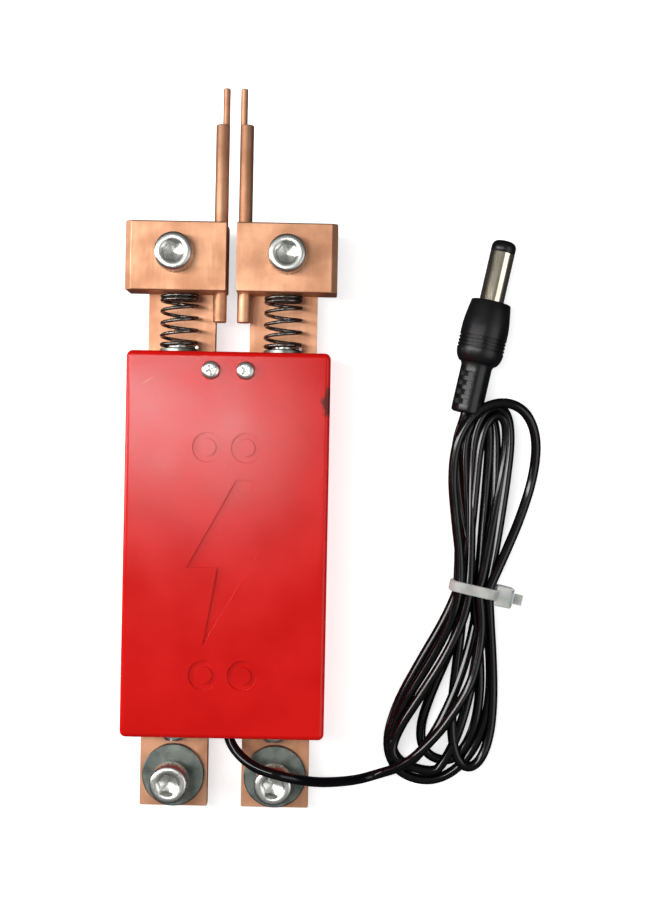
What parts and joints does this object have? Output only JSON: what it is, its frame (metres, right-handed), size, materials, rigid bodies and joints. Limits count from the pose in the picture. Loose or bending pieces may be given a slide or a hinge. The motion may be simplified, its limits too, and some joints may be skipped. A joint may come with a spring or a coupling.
{
  "type": "spot welding pen",
  "caption": "Hand-held spot welding pen: red case, two sprung copper carriers with clamped electrode rods, cable terminals and a low-voltage lead with a barrel plug.",
  "frame": {"origin": "centre of the object's underside (the back of the case), without the cord and its plug", "axes": "+Y along the electrodes towards their tips, +Z out of the front of the case, +X to the right seen from the front"},
  "size_m": [0.0929, 0.159, 0.025],
  "materials": {
    "case_red": "glossy moulded plastic",
    "nylon_black": "machined nylon",
    "copper": "bare copper, brushed and tarnished",
    "screw_steel": "bright stainless",
    "zinc_steel": "dull zinc plate",
    "spring_steel": "blackened spring steel",
    "nickel": "nickel plate",
    "switch_plastic": "moulded",
    "plunger_plastic": "moulded",
    "cord_vinyl": "glossy vinyl",
    "cord_rubber": "soft bush",
    "plug_plastic": "moulded vinyl",
    "tie_nylon": "natural nylon"
  },
  "bodies": {
    "case": {"base_screws": "screw_steel", "cable_tie": "tie_nylon", "case_screws": "screw_steel", "cord_bush": "cord_rubber", "cord_hank": "cord_vinyl", "cord_run": "cord_vinyl", "cord_tail": "cord_vinyl", "front_shell": "case_red", "guide_screws": "screw_steel", "inner_leads": "cord_vinyl", "left_seat_screw": "zinc_steel", "left_spring": "spring_steel", "left_spring_washer": "zinc_steel", "lower_guide": "nylon_black", "plug_barrel": "nickel", "plug_contact": "nickel", "plug_housing": "plug_plastic", "plug_insulator": "plug_plastic", "plug_relief": "plug_plastic", "rear_shell": "case_red", "right_seat_screw": "zinc_steel", "right_spring": "spring_steel", "right_spring_washer": "zinc_steel", "switch_body": "switch_plastic", "switch_pivot": "screw_steel", "switch_terminals": "nickel", "upper_guide": "nylon_black"},
    "left_carrier": {"left_bar": "copper", "left_clamp_block": "copper", "left_electrode": "copper", "left_clamp_screw": "screw_steel", "left_clamp_nut": "zinc_steel", "left_terminal_washer": "zinc_steel", "left_terminal_screw": "screw_steel", "left_terminal_nut": "zinc_steel", "left_stop_pin": "screw_steel", "trigger_post": "screw_steel"},
    "right_carrier": {"right_bar": "copper", "right_clamp_block": "copper", "right_electrode": "copper", "right_clamp_screw": "screw_steel", "right_clamp_nut": "zinc_steel", "right_terminal_washer": "zinc_steel", "right_terminal_screw": "screw_steel", "right_terminal_nut": "zinc_steel", "right_stop_pin": "screw_steel"},
    "switch_lever": {"switch_lever": "screw_steel"},
    "switch_plunger": {"switch_plunger": "plunger_plastic"}
  },
  "joints": [
    {"name": "left_press", "type": "slide", "parent": "case", "child": "left_carrier", "axis": [0, -1, 0], "range_m": [0, 0.004], "stiffness_N_per_m": 1000, "springref_m": -0.005, "deforming": ["left_spring"]},
    {"name": "right_press", "type": "slide", "parent": "case", "child": "right_carrier", "axis": [0, -1, 0], "range_m": [0, 0.004], "stiffness_N_per_m": 1000, "springref_m": -0.005, "deforming": ["right_spring"]},
    {"name": "lever_swing", "type": "hinge", "parent": "case", "child": "switch_lever", "pos_m": [0.0054, 0.0029, 0.0131], "axis": [0, 0, 1], "range_deg": [0, 16.67]},
    {"name": "plunger_slide", "type": "slide", "parent": "case", "child": "switch_plunger", "axis": [0, -1, 0], "range_m": [0, 0.00079]}
  ],
  "couplings": [
    {"joint": "lever_swing", "follows": "left_press", "rad_per_m": 72.522},
    {"joint": "plunger_slide", "follows": "left_press", "ratio": 0.19403}
  ]
}
